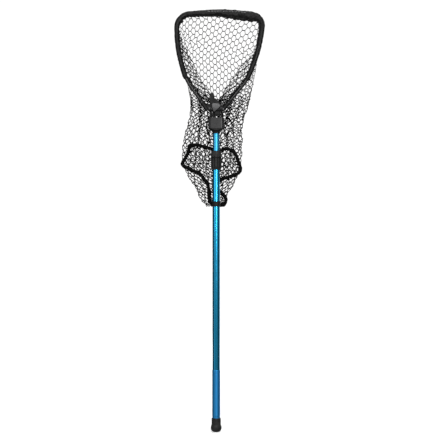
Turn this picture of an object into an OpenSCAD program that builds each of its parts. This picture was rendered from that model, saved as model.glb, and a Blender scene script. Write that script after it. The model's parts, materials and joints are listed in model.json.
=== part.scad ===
// Telescoping landing net with a folding head.
// Origin: on the pole's axis at the middle of the grip. +Z runs up the pole,
// the mouth of the hoop faces -Y and the net bag hangs behind the pole at +Y.
// Units are millimetres.

/* [Pole] */
// Outside diameter of the outer tube
outer_d = 28; // [26:0.5:30]
// Wall thickness of both tubes
tube_wall = 1.2; // [1:0.1:1.4]
// Radial gap between the two tubes
tube_gap = 0.3; // [0.2:0.05:0.4]
// Height of the outer tube's top end above the middle of the grip
outer_top = 896; // [880:1:960]
// Length of the inner tube
inner_len = 940; // [800:10:940]

/* [Grip and butt] */
// Length of the grip sleeve
grip_len = 180; // [140:5:200]
// Wall thickness of the grip sleeve
grip_wall = 1; // [0.8:0.1:2]
// Largest diameter of the rubber butt cap
butt_d = 41; // [38:0.5:46]
// Height of the rubber butt cap
butt_h = 52; // [48:1:60]

/* [Twist lock] */
// Outside diameter of the lock collar
collar_d = 40; // [39.5:0.5:41]
// Number of flutes round the lock collar
collar_ribs = 13; // [10:1:18]
// Height of the keeper ring's middle above the middle of the grip
ring_z = 712; // [650:1:760]
// Height of the keeper ring
ring_h = 20; // [14:1:26]

/* [Folding head] */
// Width of the lock sleeve
head_w = 60; // [58:1:64]
// Depth of the lock sleeve from front to back
head_dep = 44; // [43:1:45]
// Height of the lock sleeve
head_h = 40; // [38:1:42]
// Distance of the hinge axis in front of the pole's axis
hinge_fwd = 17; // [16.5:0.5:18]
// Radius of the hinge pin
pin_r = 4; // [3.5:0.25:4.5]

/* [Hoop] */
// Diameter of the hoop's tube
rod_d = 12; // [10:0.5:12]
// Half width of the hoop where its arms enter the yoke
arm_start = 30; // [29:0.5:31]
// Angle of the straight arms from the pole's direction
arm_angle = 37.5; // [36:0.5:38]
// How far the hoop leans to the right for each millimetre of height
hoop_lean = 0.055; // [0:0.005:0.06]

/* [Net bag] */
// Thickness of the solid that stands for the netting
net_t = 2.5; // [2:0.5:4]
// Diameter of the bound seam on the bag
seam_d = 9; // [7:0.5:9]
// Distance of the bag's front below the head behind the pole's axis
bag_front = 31; // [31:1:36]

/* [Hidden] */
$fn = 64;
or = outer_d / 2;                     // outer radius of the outer tube
oi = or - tube_wall;                  // its bore radius
ir = oi - tube_gap;                   // outer radius of the inner tube
ii = ir - tube_wall;                  // its bore radius
grip_r = or + grip_wall;
grip_bot = -grip_len / 2;
butt_bot = grip_bot - butt_h;
outer_bot = butt_bot + 10;
lock_bot = outer_top - 56;            // underside of the lock collar
lock_top = outer_top + 15;            // top of the lock collar
head_bot = outer_top + 80;            // lower end of the head
box_bot = head_bot + 19;
box_top = box_bot + head_h;
core_w = head_w - 12;
core_d = head_dep - 12;
hinge_z = box_top + 31;
hinge_y = -hinge_fwd;
prong_t = 7.5;
prong_in = core_w / 2 - prong_t;      // inner face of each prong
inner_top = head_bot + 40;
inner_bot = inner_top - inner_len;
run = 0.06;                           // radial running clearance

// ---- small helpers ----
module ring(r1, r0, z0, z1) {
    translate([0, 0, z0]) difference() {
        cylinder(r = r1, h = z1 - z0);
        translate([0, 0, -1]) cylinder(r = r0, h = z1 - z0 + 2);
    }
}
module round_box(w, d, h, r) {
    linear_extrude(h) union() {
        square([w - 2 * r, d], center = true);
        square([w, d - 2 * r], center = true);
        for (x = [-1, 1], y = [-1, 1]) translate([x * (w / 2 - r), y * (d / 2 - r)]) circle(r = r);
    }
}
module along_x(x0, x1, r, y, z) {
    translate([x0, y, z]) rotate([0, 90, 0]) cylinder(r = r, h = x1 - x0);
}
function unit(v) = v / norm(v);

// ---- pole ----
module outer_tube() {
    color([0.05, 0.42, 0.62]) ring(or, oi, outer_bot, outer_top);
}
module grip_sleeve() {
    color([0.17, 0.5, 0.74]) rotate_extrude() polygon([
        [or, grip_bot], [grip_r - 0.4, grip_bot], [grip_r - 0.4, grip_bot + 7], [grip_r, grip_bot + 9],
        [grip_r, -grip_bot - 16], [grip_r - 0.5, -grip_bot - 15], [grip_r - 0.5, -grip_bot - 14],
        [grip_r, -grip_bot - 13], [grip_r, -grip_bot - 2], [grip_r - 0.8, -grip_bot], [or, -grip_bot]]);
}
module butt_cap() {
    r = butt_d / 2;
    color([0.09, 0.09, 0.09]) rotate_extrude() polygon([
        [0, butt_bot], [9.5, butt_bot], [r - 7.5, butt_bot + 1.5], [r - 3.5, butt_bot + 4.5], [r - 0.9, butt_bot + 9.5],
        [r, butt_bot + 15], [r - 0.2, butt_bot + 19.5], [r - 1.4, butt_bot + 23.5], [r - 3, butt_bot + 28],
        [r - 3, butt_bot + 49], [r - 3.4, butt_bot + 51.4], [r - 4.5, grip_bot], [or, grip_bot],
        [or, outer_bot], [0, outer_bot]]);
}
module keeper_ring() {
    r = or + 1.6;
    h = ring_h / 2;
    color([0.09, 0.09, 0.09]) rotate_extrude() polygon([
        [or, ring_z - h], [r, ring_z - h], [r, ring_z - h + 2.5], [r - 0.5, ring_z - h + 3.2], [r - 0.5, ring_z - h + 4],
        [r, ring_z - h + 4.7], [r, ring_z + h - 4.7], [r - 0.5, ring_z + h - 4], [r - 0.5, ring_z + h - 3.2],
        [r, ring_z + h - 2.5], [r, ring_z + h], [or, ring_z + h]]);
}

// ---- twist lock ----
module lock_base() {
    // a sleeve on the outer tube's end, with the thread's run as raised rings and a lip over the tube's end
    color([0.13, 0.13, 0.13]) rotate_extrude() polygon([
        [or, outer_top - 48], [or + 1.6, outer_top - 48], [or + 1.6, outer_top - 30], [or + 2, outer_top - 29], [or + 2, outer_top - 27],
        [or + 1.6, outer_top - 26], [or + 1.6, outer_top - 23], [or + 2, outer_top - 22], [or + 2, outer_top - 20],
        [or + 1.6, outer_top - 19], [or + 1.6, outer_top - 16], [or + 2, outer_top - 15], [or + 2, outer_top - 13],
        [or + 1.6, outer_top - 12], [or + 1.6, outer_top + 3], [ir + 0.5, outer_top + 3], [ir + 0.5, outer_top], [or, outer_top]]);
}
module lock_collet() {
    color([0.7, 0.7, 0.68]) difference() {
        rotate_extrude() polygon([
            [ir + run, outer_top + 3.2], [or + 1.4, outer_top + 3.2], [or + 1.4, outer_top + 6], [or + 0.4, outer_top + 11.2], [ir + run, outer_top + 11.2]]);
        translate([-1.5, 0, outer_top]) cube([3, or + 10, 20]);
    }
}
module lock_collar() {
    // flutes run up the collar's outside, and a parting groove runs round it
    r = collar_d / 2;
    color([0.16, 0.16, 0.16]) difference() {
        rotate_extrude() polygon([
            [0, lock_bot], [r - 3.4, lock_bot], [r - 2.6, lock_bot + 1.5], [r, lock_bot + 11], [r, lock_bot + 43],
            [r - 1, lock_bot + 43.5], [r - 1, lock_bot + 45.5], [r, lock_bot + 46], [r, lock_top - 14],
            [r - 1, lock_top - 2], [r - 2.2, lock_top], [0, lock_top]]);
        for (i = [0 : collar_ribs - 1]) rotate([0, 0, -79.2 + 360 * i / collar_ribs]) translate([r + 0.5, 0, lock_bot + 8]) cylinder(r = 1.7, h = lock_top - lock_bot - 20, $fn = 24);
        translate([0, 0, lock_bot - 1]) cylinder(r = or + 2.1, h = outer_top + 6 - lock_bot + 1);
        translate([0, 0, outer_top + 6]) cylinder(r1 = or + 2.1, r2 = or + 0.6, h = 5.5);
        translate([0, 0, outer_top + 5]) cylinder(r = ir + 0.5, h = 20);
    }
}

// ---- inner tube ----
module inner_tube() {
    color([0.1, 0.55, 0.8]) ring(ir, ii, inner_bot, inner_top);
}
module inner_plug() {
    color([0.15, 0.15, 0.15]) rotate_extrude() polygon([
        [0, inner_bot - 26], [ir - 0.8, inner_bot - 26], [ir - 0.8, inner_bot - 22], [8, inner_bot - 22], [8, inner_bot - 3],
        [ir - 0.2, inner_bot - 3], [ir - 0.2, inner_bot], [ii, inner_bot], [ii, inner_bot + 18], [0, inner_bot + 18]]);
}
module guide_bush() {
    color([0.85, 0.85, 0.8]) difference() {
        ring(oi - 0.05, 8 + run, inner_bot - 21.7, inner_bot - 3.3);
        for (a = [0, 120, 240]) rotate([0, 0, a]) translate([oi - 1.2, -1, inner_bot - 30]) cube([3, 2, 40]);
    }
}

// ---- folding head ----
module prong(s) {
    // one cheek: a column that rises from the core and leans forward to the hinge eye
    x0 = s > 0 ? prong_in : -prong_in - prong_t;
    intersection() {
        translate([0, 0, box_top - 1]) round_box(core_w, core_d, 15, 5);
        translate([x0, -core_d, box_top - 1]) cube([prong_t, core_d - 1, 15]);
    }
    translate([x0, 0, 0]) rotate([90, 0, 90]) linear_extrude(prong_t) union() {
        translate([hinge_y, hinge_z]) circle(r = 9);
        polygon([[-core_d / 2 + 0.5, box_top + 12.5], [hinge_y - 8.1, hinge_z - 3.9], [hinge_y + 7.7, hinge_z - 4.6], [-3, box_top + 12.5]]);
    }
}
module head_body() {
    color([0.12, 0.12, 0.12]) difference() {
        union() {
            // short round neck, and a taper cut from a cone to the outline of the sleeve
            translate([0, 0, head_bot]) cylinder(r = ir + 2.4, h = 8);
            intersection() {
                translate([0, 0, head_bot + 6]) cylinder(r1 = ir + 2.4, r2 = ir + 17.8, h = 13);
                translate([0, 0, head_bot]) round_box(head_w, head_dep, 19, 11);
            }
            translate([0, 0, box_bot - 1]) round_box(core_w, core_d, head_h + 1, 5);
            prong(-1);
            prong(1);
        }
        translate([0, 0, head_bot - 1]) cylinder(r = ir, h = inner_top - head_bot + 1);
        along_x(-core_w, core_w, pin_r, hinge_y, hinge_z);
        // pocket for the two tube rivets
        along_x(-core_w, core_w, 2, 0, box_bot + 12);
    }
}
module head_rivets() {
    // two rivets through the core into the tube's wall
    color([0.6, 0.6, 0.62]) for (s = [-1, 1]) difference() {
        along_x(s > 0 ? ir : -core_w / 2, s > 0 ? core_w / 2 : -ir, 2, 0, box_bot + 12);
        translate([0, 0, box_bot]) cylinder(r = ir, h = 30);
    }
}
module hinge_pin() {
    color([0.75, 0.75, 0.77]) union() {
        along_x(-core_w / 2 - 0.5, core_w / 2 + 4, pin_r, hinge_y, hinge_z);
        along_x(-core_w / 2 - 3.5, -core_w / 2, 7, hinge_y, hinge_z);
    }
}
module hinge_nut() {
    color([0.75, 0.75, 0.77]) difference() {
        translate([core_w / 2, hinge_y, hinge_z]) rotate([0, 90, 0]) cylinder(r = 7.2, h = 5, $fn = 6);
        along_x(0, core_w, pin_r, hinge_y, hinge_z);
    }
}
module hinge_washers() {
    color([0.8, 0.8, 0.8]) for (s = [-1, 1]) difference() {
        along_x(s > 0 ? prong_in - 1.1 : -prong_in + 0.1, s > 0 ? prong_in - 0.1 : -prong_in + 1.1, 8, hinge_y, hinge_z);
        along_x(-core_w, core_w, pin_r, hinge_y, hinge_z);
    }
}
module lock_sleeve() {
    color([0.2, 0.2, 0.21]) difference() {
        translate([0, 0, box_bot + 0.1]) round_box(head_w, head_dep, head_h - 0.1, 11);
        translate([0, 0, box_bot - 1]) round_box(core_w + 0.4, core_d + 0.4, head_h + 2, 5.2);
    }
}

// ---- hoop path: heading from the pole's direction against length along one half ----
corner_r = 46;
lens = [110, 45, 60, 130, corner_r * 88 * PI / 180, 117];
function cum(i) = i <= 0 ? 0 : cum(i - 1) + lens[i - 1];
half_len = cum(6);
heads = [[0, arm_angle], [cum(1), arm_angle], [cum(2), 21], [cum(3), 17], [cum(4), 2], [cum(5), -86], [cum(6), -90]];
steps = 30;
ds = half_len / steps;
half = [for (i = 0, s = 0, p = [arm_start, 0]; i <= steps; i = i + 1, p = p + ds * [sin(lookup(s + ds / 2, heads)), cos(lookup(s + ds / 2, heads))], s = s + ds) p];
function lean_x(w) = -4.5 + hoop_lean * w;
function left_pt(p) = [-p[0] + lean_x(p[1]), 0, hinge_z + p[1]];
function right_pt(p) = [p[0] + lean_x(p[1]), 0, hinge_z + p[1]];
// whole centre line, from the left arm's foot over the top to the right arm's foot
path = concat([for (i = [0 : steps - 1]) left_pt(half[i])], [[lean_x(half[steps][1]), 0, hinge_z + half[steps][1]]],
              [for (i = [steps - 1 : -1 : 0]) right_pt(half[i])]);
np = len(path);
function tan_at(i) = unit(path[min(i + 1, np - 1)] - path[max(i - 1, 0)]);
function out_at(i) = [-tan_at(i)[2], 0, tan_at(i)[0]];   // in the hoop's plane, away from the mouth

// a hollow tube along rings of points: outer ring o, inner ring q, both n points
module tube_mesh(outer, inner) {
    m = len(outer);
    n = len(outer[0]);
    pts = concat([for (r = outer) each r], [for (r = inner) each r]);
    function o(i, k) = i * n + k % n;
    function q(i, k) = m * n + i * n + k % n;
    polyhedron(points = pts, faces = concat(
        [for (i = [0 : m - 2], k = [0 : n - 1]) each [[o(i, k), o(i + 1, k + 1), o(i + 1, k)], [o(i, k), o(i, k + 1), o(i + 1, k + 1)]]],
        [for (i = [0 : m - 2], k = [0 : n - 1]) each [[q(i, k), q(i + 1, k), q(i + 1, k + 1)], [q(i, k), q(i + 1, k + 1), q(i, k + 1)]]],
        [for (k = [0 : n - 1]) each [[o(0, k), q(0, k + 1), o(0, k + 1)], [o(0, k), q(0, k), q(0, k + 1)]]],
        [for (k = [0 : n - 1]) each [[o(m - 1, k), o(m - 1, k + 1), q(m - 1, k + 1)], [o(m - 1, k), q(m - 1, k + 1), q(m - 1, k)]]]));
}
function circ(i, r, n) = [for (k = [0 : n - 1]) path[i] + r * (cos(360 * k / n) * out_at(i) + sin(360 * k / n) * [0, 1, 0])];
module hoop_tube() {
    color([0.08, 0.08, 0.08]) tube_mesh([for (i = [0 : np - 1]) circ(i, rod_d / 2, 12)], [for (i = [0 : np - 1]) circ(i, rod_d / 2 - 1.2, 12)]);
}
// fabric hem: thin on the sides, sagging into the mouth along the top and most at the right
function sag(x, z) = let (t = lookup(z, [[hinge_z + 200, 0], [hinge_z + 335, 0.25], [hinge_z + 358, 1]]))
    0.5 + t * lookup(x, [[-130, 1], [-60, 3], [10, 5], [70, 10], [125, 12]]);
function hem_ring(i, n) = [for (k = [0 : n - 1]) let (c = cos(360 * k / n), g = sag(path[i][0], path[i][2]))
    path[i] + (c > 0 ? 9 * c : (9 + 1.6 * g) * c) * out_at(i) + 8 * sin(360 * k / n) * [0, 1, 0]];
hem_a = 8;
module hem_sleeve() {
    color([0.05, 0.05, 0.05]) tube_mesh([for (i = [hem_a : np - 1 - hem_a]) hem_ring(i, 12)], [for (i = [hem_a : np - 1 - hem_a]) circ(i, rod_d / 2 + 0.3, 12)]);
}
// net edge bands that lie along the inner side of the two straight arms
module band(a, b, s) {
    // a flat strip beside the arm from path point a to b
    d = b - a;
    ang = atan2(d[0], d[2]);
    translate(a) rotate([0, ang, 0]) translate([s > 0 ? rod_d / 2 + 0.3 : -rod_d / 2 - 0.3 - 7, -2, 0]) cube([7, 4, norm(d)]);
}
module arm_bands() {
    color([0.04, 0.04, 0.04]) {
        band(path[3], path[6], 1);
        band(path[np - 4], path[np - 7], -1);
    }
}

// ---- yoke ----
sock_r = rod_d / 2 + 2;
function arm_dir(s) = s < 0 ? unit(path[4] - path[0]) : unit(path[np - 5] - path[np - 1]);
module socket(s, r, a, b) {
    p = s < 0 ? path[0] : path[np - 1];
    d = arm_dir(s);
    translate(p) rotate([0, atan2(d[0], d[2]), 0]) translate([0, 0, a]) cylinder(r = r, h = b - a);
}
module yoke() {
    color([0.14, 0.14, 0.14]) difference() {
        union() {
            // hinge barrel and the web that carries it back to the hoop's plane
            along_x(-prong_in + 1.2, prong_in - 1.2, 9, hinge_y, hinge_z);
            translate([-prong_in + 2, hinge_y, hinge_z - 5]) cube([2 * prong_in - 4, hinge_fwd + 5.5, 13.5]);
            // cross web between the sockets, over the prongs
            translate([0, 6, 0]) rotate([90, 0, 0]) linear_extrude(10) polygon([
                [-35, hinge_z + 1], [26, hinge_z + 1], [35.5, hinge_z + 12.2], [24, hinge_z + 12.6], [12, hinge_z + 19],
                [-21, hinge_z + 19], [-25, hinge_z + 15.5], [-38, hinge_z + 17.5], [-43.5, hinge_z + 13]]);
            // upright gusset, blunt at its top and sloping down to the right arm
            translate([0, 3.6, 0]) rotate([90, 0, 0]) linear_extrude(6.4) polygon([
                [-23.5, hinge_z + 12], [-24, hinge_z + 56], [-22, hinge_z + 61.5], [-10, hinge_z + 61.5], [-8, hinge_z + 58],
                [-7.6, hinge_z + 44], [3, hinge_z + 39], [16, hinge_z + 23.5], [24.5, hinge_z + 11.4]]);
            // heel that the raised lock sleeve traps
            translate([-prong_in + 2, -3.3, box_top + 0.6]) cube([14, core_d / 2 + 3, hinge_z - box_top]);
            // skirt below the barrel that closes the gap between the prongs
            translate([-4.5, hinge_y - 3, hinge_z - 21]) cube([18.5, 11, 17]);
            for (s = [-1, 1]) socket(s, sock_r, -3, 46);
        }
        along_x(-core_w, core_w, pin_r + run, hinge_y, hinge_z);
        for (s = [-1, 1]) socket(s, rod_d / 2, 0, 60);
        for (s = [-1, 1]) rivet_at(s, 1.6, 30);
    }
}
module yoke_boss() {
    // shield-shaped pad in front of the hinge barrel, carried back to the web above the barrel
    color([0.3, 0.3, 0.31]) difference() {
        translate([0, -4.1, 0]) rotate([90, 0, 0]) linear_extrude(26.4) polygon([
            [-10, hinge_z - 9.5], [-6.5, hinge_z - 9.5], [15, hinge_z + 9.8], [15, hinge_z + 13.5], [8, hinge_z + 20.5],
            [-12.5, hinge_z + 21], [-15, hinge_z + 17], [-15, hinge_z + 9]]);
        along_x(-30, 30, 9.05, hinge_y, hinge_z);
        translate([-30, hinge_y, hinge_z - 20]) cube([60, 30, 28.6]);
    }
}
module rivet_at(s, r, l) {
    p = (s < 0 ? path[0] : path[np - 1]) + 34 * arm_dir(s);
    translate([p[0], -l / 2, p[2]]) rotate([-90, 0, 0]) cylinder(r = r, h = l);
}
module arm_rivets() {
    // one rivet through each socket into the arm: the heads stand on the socket's front and back
    color([0.5, 0.5, 0.52]) for (s = [-1, 1]) {
        p = (s < 0 ? path[0] : path[np - 1]) + 34 * arm_dir(s);
        for (k = [-1, 1]) translate([p[0], k * (sock_r - 2), p[2]]) rotate([k > 0 ? -90 : 90, 0, 0]) union() {
            translate([0, 0, 0.3]) cylinder(r = 1.6, h = 1.7);
            translate([0, 0, 2]) cylinder(r1 = 3.2, r2 = 2.2, h = 1.6);
        }
    }
}

// ---- net bag ----
// left and right edges, greatest depth and front of the bag against height above the hinge
edge_l = [[-366, -34], [-345, -55], [-320, -68], [-285, -86], [-253, -106], [-210, -129], [-170, -132], [-130, -131],
          [-77, -119], [-58, -111], [-9, -105], [19, -103], [54, -101], [92, -107], [134, -118], [184, -137], [234, -146], [291, -150], [324, -146], [352, -126]];
edge_r = [[-366, 28], [-340, 38], [-320, 41], [-285, 66], [-260, 78], [-230, 91], [-170, 100], [-130, 101],
          [-99, 102], [-77, 97], [-35, 107], [19, 125], [47, 130], [74, 133], [99, 132], [130, 140], [184, 146], [234, 160], [291, 170], [324, 168], [352, 148]];
depth = [[-366, 52], [-320, 66], [-220, 86], [-120, 98], [-31, 104], [19, 102], [84, 92], [184, 66], [284, 36], [352, 17]];
function el(w) = lookup(w, edge_l);
function er(w) = lookup(w, edge_r);
function dp(w) = lookup(w, depth);
// open sheet behind the hoop
urows = 17;
ucols = 22;
function usheet(i, j, off) = let (w = 20 + (352 - 20) * i / urows, t = 180 * j / ucols,
    xc = (el(w) + er(w)) / 2, hw = (er(w) - el(w)) / 2, y0 = 10)
    [xc - (hw - off) * cos(t), y0 + (dp(w) - y0 - off) * pow(sin(t), 0.7), hinge_z + w];
module net_upper() {
    a = [for (i = [0 : urows], j = [0 : ucols]) usheet(i, j, 0)];
    b = [for (i = [0 : urows], j = [0 : ucols]) usheet(i, j, net_t)];
    c = ucols + 1;
    m = (urows + 1) * c;
    function A(i, j) = i * c + j;
    function B(i, j) = m + i * c + j;
    color([0.03, 0.03, 0.03]) polyhedron(points = concat(a, b), faces = concat(
        [for (i = [0 : urows - 1], j = [0 : ucols - 1]) each [[A(i, j), A(i + 1, j), A(i + 1, j + 1)], [A(i, j), A(i + 1, j + 1), A(i, j + 1)]]],
        [for (i = [0 : urows - 1], j = [0 : ucols - 1]) each [[B(i, j), B(i + 1, j + 1), B(i + 1, j)], [B(i, j), B(i, j + 1), B(i + 1, j + 1)]]],
        [for (j = [0 : ucols - 1]) each [[A(0, j), A(0, j + 1), B(0, j + 1)], [A(0, j), B(0, j + 1), B(0, j)]]],
        [for (j = [0 : ucols - 1]) each [[A(urows, j), B(urows, j + 1), A(urows, j + 1)], [A(urows, j), B(urows, j), B(urows, j + 1)]]],
        [for (i = [0 : urows - 1]) each [[A(i, 0), B(i + 1, 0), A(i + 1, 0)], [A(i, 0), B(i, 0), B(i + 1, 0)]]],
        [for (i = [0 : urows - 1]) each [[A(i, ucols), A(i + 1, ucols), B(i + 1, ucols)], [A(i, ucols), B(i + 1, ucols), B(i, ucols)]]]));
}
// closed bag below the head, open at its top
lrows = 14;
lcols = 28;
low_a = -36;     // top of the lower bag below the hinge
low_b = -352;    // bottom of the netting's wall
function spow(v, e) = sign(v) * pow(abs(v), e);
function lring(w, off) = let (xc = (el(w) + er(w)) / 2, hw = (er(w) - el(w)) / 2 - off, yc = (bag_front + dp(w)) / 2, hy = (dp(w) - bag_front) / 2 - off)
    [for (j = [0 : lcols - 1]) [xc + hw * spow(cos(360 * j / lcols), 0.75), yc + hy * spow(sin(360 * j / lcols), 0.75), hinge_z + w]];
module net_lower() {
    color([0.03, 0.03, 0.03]) tube_mesh([for (i = [0 : lrows]) lring(low_a + (low_b - low_a) * i / lrows, 0)],
                                        [for (i = [0 : lrows]) lring(low_a + (low_b - low_a) * i / lrows, net_t)]);
}
// bottom panel that closes the bag
module net_bottom() {
    color([0.03, 0.03, 0.03]) translate([0, 0, hinge_z + low_b - 12]) linear_extrude(11.6)
        polygon([for (p = lring(low_b, 1)) [p[0], p[1]]]);
}
// bound seam: a closed loop of thick binding that lies in folds on the front of the bag, height given from the hinge
seam_pts = [[-100, 26, -134], [-71, 26, -132], [-39, 26, -140], [-14, 26, -146], [14, 26, -154], [35, 26, -144], [55, 26, -150],
            [70, 26, -163], [84, 26, -195], [91, 26, -222], [84, 26, -236], [51, 26, -250], [20, 26, -262], [4, 26, -276], [8, 26, -300],
            [22, 26, -313], [36, 26, -334], [31, 26, -355], [14, 26, -358], [-14, 26, -356], [-24, 26, -345], [-28, 26, -317],
            [-31, 26, -284], [-43, 26, -264], [-63, 26, -240], [-96, 26, -224], [-128, 26, -204], [-116, 26, -178], [-104, 26, -154]];
ns = len(seam_pts);
module seam_binding() {
    n = 8;
    function P(i) = seam_pts[(i + ns) % ns] + [0, 0, hinge_z];
    function N(i) = let (t = unit(P(i + 1) - P(i - 1))) [-t[2], 0, t[0]];
    pts = [for (i = [0 : ns - 1], k = [0 : n - 1]) P(i) + seam_d / 2 * (cos(360 * k / n) * N(i) + sin(360 * k / n) * [0, 1, 0])];
    function q(i, k) = (i % ns) * n + k % n;
    color([0.02, 0.02, 0.02]) polyhedron(points = pts, faces = [for (i = [0 : ns - 1], k = [0 : n - 1])
        each [[q(i, k), q(i + 1, k + 1), q(i + 1, k)], [q(i, k), q(i, k + 1), q(i + 1, k + 1)]]]);
}

outer_tube();
grip_sleeve();
butt_cap();
keeper_ring();
lock_base();
lock_collet();
lock_collar();
guide_bush();
inner_plug();
inner_tube();
head_body();
head_rivets();
hinge_pin();
hinge_nut();
hinge_washers();
lock_sleeve();
yoke();
yoke_boss();
arm_rivets();
hoop_tube();
hem_sleeve();
arm_bands();
net_upper();
net_lower();
net_bottom();
seam_binding();
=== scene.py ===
import json
import math

import bpy
import numpy as np
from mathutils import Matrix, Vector, noise


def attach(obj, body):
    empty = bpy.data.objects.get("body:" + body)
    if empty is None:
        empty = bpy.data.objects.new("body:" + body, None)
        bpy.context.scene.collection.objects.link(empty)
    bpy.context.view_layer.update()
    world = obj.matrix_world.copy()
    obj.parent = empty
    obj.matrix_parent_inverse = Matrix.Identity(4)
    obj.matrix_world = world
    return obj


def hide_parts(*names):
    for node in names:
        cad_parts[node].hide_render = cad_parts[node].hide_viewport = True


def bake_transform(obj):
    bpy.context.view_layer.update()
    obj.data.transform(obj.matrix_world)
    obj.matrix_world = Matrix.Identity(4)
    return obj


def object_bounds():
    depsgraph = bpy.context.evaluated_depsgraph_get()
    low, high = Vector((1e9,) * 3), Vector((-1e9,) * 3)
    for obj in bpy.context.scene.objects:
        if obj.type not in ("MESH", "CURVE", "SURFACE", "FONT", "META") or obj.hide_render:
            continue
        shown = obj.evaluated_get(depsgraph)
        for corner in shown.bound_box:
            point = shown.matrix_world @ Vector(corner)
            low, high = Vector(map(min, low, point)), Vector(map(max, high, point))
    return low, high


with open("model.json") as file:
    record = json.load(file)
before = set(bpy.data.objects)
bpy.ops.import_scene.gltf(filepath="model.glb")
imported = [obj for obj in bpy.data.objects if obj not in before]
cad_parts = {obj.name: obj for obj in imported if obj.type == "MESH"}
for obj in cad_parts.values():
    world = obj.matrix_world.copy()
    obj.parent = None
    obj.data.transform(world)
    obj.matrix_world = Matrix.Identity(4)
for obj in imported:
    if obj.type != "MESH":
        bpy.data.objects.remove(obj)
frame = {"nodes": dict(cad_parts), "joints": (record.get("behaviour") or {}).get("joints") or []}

cad_box = [list(map(float, c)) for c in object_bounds()]
nodes = frame["nodes"]
fold = next(j for j in frame["joints"] if j["name"] == "hoop_fold")
HY, HZ = fold["pos_m"][1] * 1000, fold["pos_m"][2] * 1000   # hinge axis, in millimetres
MM = 0.001
rng = np.random.default_rng(7)

# ------------------------------------------------------------------ camera, light, floor
scene = bpy.context.scene
scene.view_settings.view_transform = "Standard"
scene.view_settings.look = "None"
scene.view_settings.exposure = 0.0
scene.view_settings.gamma = 1.0
cam_data = bpy.data.cameras.new("camera")
cam_data.lens, cam_data.sensor_width = 100, 36
cam_data.clip_end = 100
cam = bpy.data.objects.new("camera", cam_data)
scene.collection.objects.link(cam)
cam.location = (0.01425, -4.583, 0.652)
cam.rotation_euler = (math.radians(90), 0, 0)
scene.camera = cam

world = bpy.data.worlds.new("studio")
scene.world = world
world.use_nodes = True
wt = world.node_tree
wt.nodes.clear()


def wnode(kind, **values):
    n = wt.nodes.new(kind)
    for k, v in values.items():
        setattr(n, k, v)
    return n


out = wnode("ShaderNodeOutputWorld")
lp = wnode("ShaderNodeLightPath")
tc = wnode("ShaderNodeTexCoord")
sep = wnode("ShaderNodeSeparateXYZ")
wt.links.new(tc.outputs["Generated"], sep.inputs[0])
# reflections see a softly lit front, dark sides and a little light from the right rear, less of it low down
flip = wnode("ShaderNodeMath", operation="MULTIPLY")
flip.inputs[1].default_value = -1
wt.links.new(sep.outputs["Y"], flip.inputs[0])
turn = wnode("ShaderNodeMath", operation="ARCTAN2")
wt.links.new(sep.outputs["X"], turn.inputs[0])
wt.links.new(flip.outputs[0], turn.inputs[1])
part = wnode("ShaderNodeMapRange")
part.inputs["From Min"].default_value, part.inputs["From Max"].default_value = -math.pi, math.pi
wt.links.new(turn.outputs[0], part.inputs["Value"])


def round_ramp(stops):
    n = wnode("ShaderNodeValToRGB")
    while len(n.color_ramp.elements) < len(stops):
        n.color_ramp.elements.new(0.5)
    for el, (deg, v) in zip(n.color_ramp.elements, stops):
        el.position, el.color = (deg + 180) / 360, (v, v, v, 1)
    wt.links.new(part.outputs[0], n.inputs["Fac"])
    return n.outputs["Color"]


# the sides keep one brightness, the wide soft front is brighter from eye height up
sides = round_ramp([(-180, .45), (-150, .35), (-122, .08), (-92, .03), (-72, .35), (-54, .62), (-38, .45), (-24, .12), (0, .08), (60, .05), (76, .015), (98, .12), (124, .9), (150, .6), (180, .45)])
front = round_ramp([(-180, 0), (-42, 0), (-24, .8), (-12, 1), (30, 1), (45, .95), (60, .12), (70, 0), (180, 0)])
high = wnode("ShaderNodeMapRange", interpolation_type="SMOOTHSTEP")
high.inputs["From Min"].default_value, high.inputs["From Max"].default_value = -0.075, 0.075
high.inputs["To Min"].default_value, high.inputs["To Max"].default_value = 0.20, 1.6
wt.links.new(sep.outputs["Z"], high.inputs["Value"])
add = wnode("ShaderNodeMath", operation="MULTIPLY_ADD")
wt.links.new(front, add.inputs[0])
wt.links.new(high.outputs[0], add.inputs[1])
wt.links.new(sides, add.inputs[2])
glossy = wnode("ShaderNodeBackground")
glossy.inputs["Color"].default_value = (1, 1, 1, 1)
wt.links.new(add.outputs[0], glossy.inputs["Strength"])
soft = wnode("ShaderNodeBackground")
soft.inputs["Strength"].default_value = 0.28
white = wnode("ShaderNodeBackground")
white.inputs["Color"].default_value = (1, 1, 1, 1)
white.inputs["Strength"].default_value = 1.05
mix_a, mix_b = wnode("ShaderNodeMixShader"), wnode("ShaderNodeMixShader")
wt.links.new(lp.outputs["Is Glossy Ray"], mix_a.inputs[0])
wt.links.new(soft.outputs[0], mix_a.inputs[1])
wt.links.new(glossy.outputs[0], mix_a.inputs[2])
wt.links.new(lp.outputs["Is Camera Ray"], mix_b.inputs[0])
wt.links.new(mix_a.outputs[0], mix_b.inputs[1])
wt.links.new(white.outputs[0], mix_b.inputs[2])
wt.links.new(mix_b.outputs[0], out.inputs[0])


def area_light(name, loc, aim, size, power):
    d = bpy.data.lights.new(name, "AREA")
    d.shape, d.size, d.size_y, d.energy = "RECTANGLE", size[0], size[1], power
    o = bpy.data.objects.new(name, d)
    scene.collection.objects.link(o)
    o.location = loc
    o.rotation_euler = (Vector(aim) - Vector(loc)).to_track_quat("-Z", "Y").to_euler()
    return o


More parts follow.
